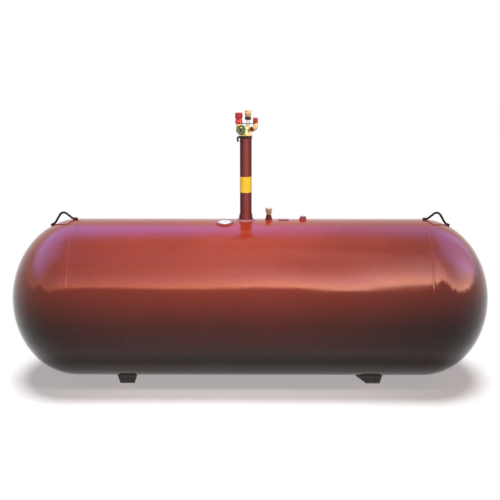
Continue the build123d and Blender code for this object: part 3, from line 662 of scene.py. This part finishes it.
# Service valve: a hexagon brass bonnet with its gland, a black steel stem, and a green plastic wheel
# with finger lobes held by a black steel nut. Only the wheel, the stem and the nut turn.
service = np.array((riser_x - 0.014, 0, riser_top + 0.009))
service_turn, service_rise = radians(14), radians(26)
service_along = (-sin(service_turn) * cos(service_rise), -cos(service_turn) * cos(service_rise),
                 sin(service_rise))
service_across = (cos(service_turn), -sin(service_turn), 0)
bonnet_flats, nut_flats = 0.034, 0.016
wheel_edge = 0.0012
bonnet_profile = eased([(0.036, 0.0051), (0.036, 0.0185), (0.0372, 0.0196), (0.0468, 0.0196),
                        (0.048, 0.0185), (0.048, 0.010), (0.054, 0.0094), (0.054, 0.0051)],
                       0.0005, closed=True)
bonnet_piece = turned(service, service_along, service_across, bonnet_profile[:, 0],
                      chamfered(bonnet_profile, bonnet_flats), hex_columns)
fit(skin("service_bonnet", bonnet_piece, ring_rows=True), brass_turned, "brass", "bonnet")
green_plastic = moulded("green_plastic", (0.018, 0.095, 0.024), (0.045, 0.180, 0.055), 0.28)
dress(green_plastic, "handwheel")
soften(wheel_edge, "handwheel")
nut_profile = eased([(0.073, 0.00515), (0.073, 0.0088), (0.0736, 0.0092), (0.0784, 0.0092), (0.079, 0.0088),
                     (0.079, 0.00515)], 0.0003, closed=True)
nut = turned(service, service_along, service_across, nut_profile[:, 0],
             chamfered(nut_profile, nut_flats), hex_columns)
black_steel, tree, shader = finish_of("black_steel", Metallic=0.6)
oxide = tones(tree, grain(tree, 180, 4), (0.3, (0.030, 0.032, 0.030)), (0.7, (0.075, 0.070, 0.062)))
tree.links.new(oxide, shader.inputs["Base Color"])
tree.links.new(tones(tree, grain(tree, 240, 3), (0.3, 0.35), (0.7, 0.55)), shader.inputs["Roughness"])
roughen(tree, shader, (grain(tree, 600, 2), 0.1, 0.0003))
dress(black_steel, "valve_stem")
fit(skin("handwheel_nut", nut, ring_rows=True), black_steel, "steel", "wheel_nut", body="handwheel")

# Level gauge: a round boss welded to the shell and leaning with it, painted like the vessel, with a plum
# ring and a domed white dial on it. Plain black marks round its edge and a short black hand.
gauge_lean = radians(9.5)
gauge_out = np.array((0, -sin(gauge_lean), cos(gauge_lean)))
gauge_up = np.array((0, cos(gauge_lean), sin(gauge_lean)))
gauge_x = -0.155
gauge_seat = np.array((gauge_x, 0, axis_height)) + shell_radius * gauge_out
gauge_weld_radius, gauge_weld_size = 0.0525, 0.003
bezel_bore, bezel_radius = 0.0434, 0.049
dial_radius = 0.0428
dial_edge, dial_bulge = 0.0080, 0.0009
mark_count, mark_length = 24, 0.0052
mark_inside, mark_outside = 0.0389, 0.0395
mark_low, mark_high = 0.0078, 0.0087
hand_tail, hand_tip = -0.010, 0.031
hand_low, hand_high = 0.0089, 0.0097
dress(vessel_paint, "gauge_boss")
bezel_profile = eased([(0.005, bezel_bore), (0.005, bezel_radius), (0.0085, bezel_radius), (0.0105, 0.0465),
                       (0.0105, bezel_bore)], 0.001, closed=True)
bezel = turned(gauge_seat, gauge_out, rightward, bezel_profile[:, 0], bezel_profile[:, 1], 128)
plum_paint, tree, shader = finish_of("plum_paint", Specular_IOR_Level=0.5)
plum = tones(tree, grain(tree, 45, 4), (0.3, (0.22, 0.085, 0.125)), (0.7, (0.32, 0.13, 0.19)))
tree.links.new(plum, shader.inputs["Base Color"])
tree.links.new(tones(tree, grain(tree, 60, 3), (0.3, 0.22), (0.7, 0.4)), shader.inputs["Roughness"])
roughen(tree, shader, (grain(tree, 320, 2), 0.1, 0.0005))
fit(skin("gauge_ring", bezel, ring_rows=True), plum_paint, "dark_paint", "gauge_bezel")
white_plastic = moulded("white_plastic", (0.84, 0.84, 0.83), (0.92, 0.92, 0.91), 0.14)
inward = np.linspace(0, 1, 12)[::-1]
window = np.stack([dial_edge + dial_bulge * (1 - inward**2), dial_radius * inward], -1)
dial_profile = np.concatenate([[(0.005, 0), (0.005, dial_radius)], window])
dial = turned(gauge_seat, gauge_out, rightward, dial_profile[:, 0], dial_profile[:, 1], 96)
fit(skin("gauge_face", dial), white_plastic, "white_plastic", "gauge_dial")
mark_turn = np.linspace(0, 2 * np.pi, 720, endpoint=False)
marked = (np.cos(mark_count * mark_turn) > 0.93) & (np.cos(mark_turn + np.pi / 2) > -0.8)
inner_edge = mark_inside - mark_length * marked
outer_edge = np.full(len(mark_turn), mark_outside)
scale_radius = np.stack([inner_edge, inner_edge, outer_edge, outer_edge])
scale_ring = turned(gauge_seat, gauge_out, rightward, [mark_low, mark_high, mark_high, mark_low],
                    scale_radius, len(mark_turn))
fit(skin("gauge_scale", scale_ring, ring_rows=True), collar_paint, "dark_paint")
hand_run = np.linspace(hand_tail, hand_tip, 12)[:, None]
hand_half = np.linspace(0.0013, 0.0004, 12)[:, None]
hand_along = unit(np.array((0.62, 0, 0)) + 0.78 * gauge_up)
hand_side = np.cross(gauge_out, hand_along)
section = np.array([(-1, hand_low), (1, hand_low), (1, hand_high), (-1, hand_high)])
hand = (gauge_seat + hand_run[..., None] * hand_along + (hand_half * section[:, 0])[..., None] * hand_side
        + section[:, 1][:, None] * gauge_out)
tail, tip = (end.mean(1, keepdims=True).repeat(len(section), 1) for end in (hand[:1], hand[-1:]))
hand = np.concatenate([tail, hand, tip])
fit(skin("gauge_hand", hand), collar_paint, "dark_paint")
lap = np.linspace(0, 2 * np.pi, 160, endpoint=False)[:, None]
gauge_edge = gauge_seat + gauge_weld_radius * (np.cos(lap) * np.array(rightward) + np.sin(lap) * gauge_up)
axis = np.array((0, axis_height))
gauge_edge[:, 1:] = unit(gauge_edge[:, 1:] - axis) * shell_radius + axis
gauge_weld = skin("gauge_boss_weld", weld_run(gauge_edge, gauge_weld_size), ring_rows=True)
fit(gauge_weld, vessel_paint, "vessel_paint")

# Draw-off valve: a painted socket welded on the crown, a brass hexagon screwed into it and a
# knurled brass cap on top, both weathered dull.
drawoff_x = 0.118
drawoff_socket_height = 0.036
drawoff = (drawoff_x, 0, crown + drawoff_socket_height)
drawoff_flats = 0.034
knurl_count, knurl_depth, knurl_inside = 20, 0.0008, 0.0195
drawoff_weld_radius, socket_weld_size = 0.0235, 0.003
brass_dull = cast_brass("brass_dull", skin_depth=0.0001, scale=1.5, brown=(0.24, 0.19, 0.11),
                        plain=(0.40, 0.34, 0.22), pale=(0.56, 0.50, 0.34))
# The socket takes the pipe's finish and stands right of the pipe, so it carries the pipe's painted flank
# shade all over.
dress(pipe_paint, "drawoff_socket")
hex_profile = eased([(0, 0), (0, 0.0185), (0.0012, 0.0197), (0.0108, 0.0197), (0.012, 0.0185),
                     (0.012, 0)], 0.0005)
brass_hex = turned(drawoff, upright, rightward, hex_profile[:, 0], chamfered(hex_profile, drawoff_flats),
                   hex_columns)
fit(skin("drawoff_hexagon", brass_hex), brass_dull, "brass", "drawoff_valve")
knob_profile = eased([(0.012, 0), (0.012, 0.019), (0.014, 0.021), (0.035, 0.021), (0.038, 0.0185),
                      (0.038, 0)], 0.0014, 7)
angle = np.linspace(0, 2 * np.pi, 240, endpoint=False)
knurl = knurl_depth * np.clip((knob_profile[:, 1:2] - knurl_inside) / 0.001, 0, 1)
knob_radius = knob_profile[:, 1:2] - knurl * np.abs(np.sin(knurl_count * angle))
knob = turned(drawoff, upright, rightward, knob_profile[:, 0], knob_radius, len(angle))
fit(skin("drawoff_knob", knob), brass_dull, "brass", "drawoff_cap")
drawoff_weld = saddle_weld("drawoff_socket_weld", drawoff_x, drawoff_weld_radius, socket_weld_size)
fit(drawoff_weld, vessel_paint, "vessel_paint")

# Crown plate and blanked port: a thin plain plate tacked to the crown, and a low socket welded on and
# closed by a hexagon plug. Plate and plug are painted plum, the socket like the vessel.
plug_x = 0.332
plug_socket_height = 0.008
plug_weld_radius = 0.0225
plug_flats = 0.038
crown_plate_edge = 0.0008
dress(plum_paint, "crown_plate")
dress(vessel_paint, "plug_socket")
soften(crown_plate_edge, "crown_plate")
plug_profile = eased([(0, 0), (0, 0.0208), (0.001, 0.0219), (0.012, 0.0219), (0.014, 0.0198),
                      (0.014, 0)], 0.0005)
plug = turned((plug_x, 0, crown + plug_socket_height), upright, rightward, plug_profile[:, 0],
              chamfered(plug_profile, plug_flats), hex_columns)
fit(skin("port_plug", plug), plum_paint, "dark_paint", "socket_plug")
plug_weld = saddle_weld("plug_socket_weld", plug_x, plug_weld_radius, socket_weld_size)
fit(plug_weld, vessel_paint, "vessel_paint")

# Studio: a pale floor that runs out to white in an even white surround, an overhead light, a softbox in
# front and two small lamps on the riser. A graded dome shows only in the gloss: warm above a skyline in
# front, cool overhead and behind.
floor_seen, floor_bounce, floor_lift = 0.845, 0.008, 0.38
surround_light = 0.014
dome_radius = 50
warm_strength, warm_fade = 15.2, 0.25
riser_aim = (riser_x, 0, 1.38)
lap = np.linspace(0, 2 * np.pi, 96, endpoint=False)
spread = np.array([0.0, 3.0, 60.0])[:, None]
floor = skin("studio_floor", np.stack([spread * np.cos(lap), spread * np.sin(lap), 0 * spread * lap], -1))
pale_floor, tree, shader = finish_of("pale_floor", Roughness=0.9, Specular_IOR_Level=0.0,
                                     Emission_Color=(1, 1, 1, 1))


def seen_directly(tree, strength=1.0):
    """The strength for rays from the camera, a gloss or a clear piece, nought for the rest."""
    path = tree.nodes.new("ShaderNodeLightPath")
    first = tree.nodes.new("ShaderNodeMath")
    both = tree.nodes.new("ShaderNodeMath")
    both.use_clamp = True
    reach = tree.nodes.new("ShaderNodeMapRange")
    reach.inputs["To Max"].default_value = strength
    tree.links.new(path.outputs["Is Camera Ray"], first.inputs[0])
    tree.links.new(path.outputs["Is Glossy Ray"], first.inputs[1])
    tree.links.new(first.outputs[0], both.inputs[0])
    tree.links.new(path.outputs["Is Transmission Ray"], both.inputs[1])
    tree.links.new(both.outputs[0], reach.inputs["Value"])
    return reach.outputs["Result"]


floor_tone = over(tree, seen_directly(tree), (floor_bounce,) * 3, (floor_seen,) * 3)
tree.links.new(floor_tone, shader.inputs["Base Color"])
tree.links.new(seen_directly(tree, floor_lift), shader.inputs["Emission Strength"])
floor.data.materials.append(pale_floor)

world = bpy.data.worlds.new("studio_light")
bpy.context.scene.world = world
world.use_nodes = True
world.cycles.sampling_method = "NONE"
tree = world.node_tree
tree.nodes.clear()
soft = tree.nodes.new("ShaderNodeBackground")
white = tree.nodes.new("ShaderNodeBackground")
mix = tree.nodes.new("ShaderNodeMixShader")
out = tree.nodes.new("ShaderNodeOutputWorld")
soft.inputs["Color"].default_value = (1, 1, 1, 1)
white.inputs["Color"].default_value = (1, 1, 1, 1)
soft.inputs["Strength"].default_value = surround_light
tree.links.new(seen_directly(tree), mix.inputs["Fac"])
tree.links.new(soft.outputs[0], mix.inputs[1])
tree.links.new(white.outputs[0], mix.inputs[2])
tree.links.new(mix.outputs[0], out.inputs["Surface"])


def ramp(value, low, high):
    """Smooth step from nought at low to one at high."""
    share = np.clip((value - low) / (high - low), 0, 1)
    return share * share * (3 - 2 * share)


dome_rise = np.radians(np.linspace(1, 88.5, 150))[:, None]
dome_turn = np.linspace(-np.pi, np.pi, 288, endpoint=False)
right = np.cos(dome_rise) * np.sin(dome_turn)
back = -np.cos(dome_rise) * np.cos(dome_turn)
up = np.sin(dome_rise) + 0 * dome_turn
dome = skin("graded_dome", np.array((0, 0, axis_height)) + dome_radius * np.stack([right, back, up], -1))


def hump(centre, half_width):
    """Bell curve round the dome about a heading in degrees, nought being the front."""
    return np.exp(-(((np.degrees(dome_turn) - centre) / half_width) ** 2))


# The skyline is the sine of a height for each heading: an arch in front and one at the back, a dip, two
# rises and a fine wave, with a ragged edge towards the sides.
skyline = 0.16 + 0.29 * np.cos(dome_turn) ** 2
skyline = skyline - 0.095 * hump(9.2, 3.4) + 0.21 * hump(31, 18) + 0.13 * hump(-66, 10)
skyline = skyline + 0.014 * np.sin(31 * dome_turn) * np.sin(11 * dome_turn + 1)
ragged = 0.035 * np.sin(47 * dome_turn + 0.6) * np.sin(19 * dome_turn + 2)
skyline = skyline + ragged * ramp(np.abs(dome_turn), 0.3, 0.45)
above = up - skyline
# Warm light starts sharply at the skyline and fades upwards, and to the back. It is strongest a little to
# the right, and weaker high up there.
warm = warm_strength * ramp(above, -0.012, 0.012) * np.exp(-np.maximum(above, 0) / warm_fade)
warm = warm * ramp(-back, -0.5, 0.3)
warm = warm * np.interp(right, [-1, -0.2, 0.16, 0.35, 1], [0.22, 0.75, 1.8, 1.25, 1.2])
warm = warm * (1 - 0.62 * ramp(up, 0.62, 0.94) * np.interp(right, [0.0, 0.1, 0.2, 0.34], [0, 1, 1, 0]))
# Cool light is a soft belt below the zenith, lower at the sides and lowest at the far right, none in front.
side = np.abs(right)
far_right = ramp(right, 0.45, 0.8) * ramp(back, -0.1, 0.5)
cool_edge = 0.66 - 0.3 * side**2 - 0.3 * far_right
cool = ramp(up, cool_edge - 0.12, cool_edge + 0.12) * (1 - ramp(up, 0.84, 1.0))
cool = cool * (1 - ramp(-back, 0.0, 0.5))
cool = cool * np.interp(right, [-0.8, -0.07, 0.14, 0.22, 0.9], [5.3, 3.2, 1.5, 1.8, 6.3])
cool = cool * (1 - 0.68 * far_right)
glow = np.ones((*up.shape, 4))
glow[..., 0] = warm + cool * (0.12 + 0.25 * side + 0.35 * far_right)
glow[..., 1] = warm * (0.44 + 0.4 * np.clip(right, -0.25, 0.15)) + cool * (0.14 + 0.25 * side)
glow[..., 2] = warm * (0.29 + 0.12 * ramp(above, 0.03, 0.2) + 0.4 * np.clip(right, -0.25, 0.12)) + cool
tint = dome.data.attributes.new("glow", "FLOAT_COLOR", "POINT")
tint.data.foreach_set("color", glow.astype(np.float32).ravel())
dome_glow, tree, shader = finish_of("dome_glow")
dome_glow.cycles.emission_sampling = "NONE"
tone = tree.nodes.new("ShaderNodeAttribute")
tone.attribute_name = "glow"
clear = tree.nodes.new("ShaderNodeBsdfTransparent")
lit = tree.nodes.new("ShaderNodeEmission")
sum_of = tree.nodes.new("ShaderNodeAddShader")
tree.links.new(tone.outputs["Color"], lit.inputs["Color"])
tree.links.new(clear.outputs[0], sum_of.inputs[0])
tree.links.new(lit.outputs[0], sum_of.inputs[1])
tree.links.new(sum_of.outputs[0], tree.nodes["Material Output"].inputs["Surface"])
tree.nodes.remove(shader)
dome.data.materials.append(dome_glow)
dome.visible_camera = dome.visible_diffuse = dome.visible_transmission = dome.visible_shadow = False


def lamp(name, kind, power, place, aim, soft_size):
    """A soft lamp at one point, turned to face another, that leaves no mark of its own in the gloss."""
    light = bpy.data.lights.new(name, kind)
    light.energy = power
    light.shadow_soft_size = soft_size
    holder = bpy.data.objects.new(name, light)
    holder.location = place
    holder.rotation_euler = (Vector(aim) - Vector(place)).to_track_quat("-Z", "Y").to_euler()
    holder.visible_glossy = False
    bpy.context.scene.collection.objects.link(holder)
    return light


overhead = lamp("overhead_light", "SUN", power=2.28, place=(0, -0.32, 5.5), aim=(0, 0, axis_height),
                soft_size=0)
overhead.angle = radians(20)
front = lamp("front_softbox", "SPOT", power=91, place=(-0.14, -1.97, 2.8), aim=(-0.14, -0.35, 0.60),
             soft_size=0.25)
front.spot_size = radians(56)
front.spot_blend = 1
for name, power, place in (
    ("riser_lamp", 1080, (0.9, -6.0, 1.9)),
    ("riser_back_lamp", 500, (-0.8, 6.0, 1.9)),
):
    spot = lamp(name, "SPOT", power, place, riser_aim, soft_size=0.3)
    spot.spot_size = radians(7.8)
    spot.spot_blend = 0.25

# Camera: at the photograph's angle, a little above the vessel and almost square to it. The focal length
# and the row where the vessel's axis lies are in pixels of a square picture.
picture_size = 500
focal = 755.6
axis_row = 296.3
sensor = 36
distance, rise, swing = 4.87, radians(15.8), radians(0.3)
lens = bpy.data.cameras.new("camera")
lens.sensor_width = sensor
lens.lens = focal / picture_size * sensor
camera = bpy.data.objects.new("camera", lens)
stand = Vector((sin(swing) * cos(rise), -cos(swing) * cos(rise), sin(rise))) * distance
camera.location = Vector((0, 0, axis_height)) + stand
pitch = rise - atan((axis_row - picture_size / 2) / focal)
aim = Vector((-sin(swing) * cos(pitch), cos(swing) * cos(pitch), -sin(pitch)))
camera.rotation_euler = aim.to_track_quat("-Z", "Y").to_euler()
bpy.context.scene.collection.objects.link(camera)
bpy.context.scene.camera = camera
bpy.context.scene.view_settings.view_transform = "Standard"
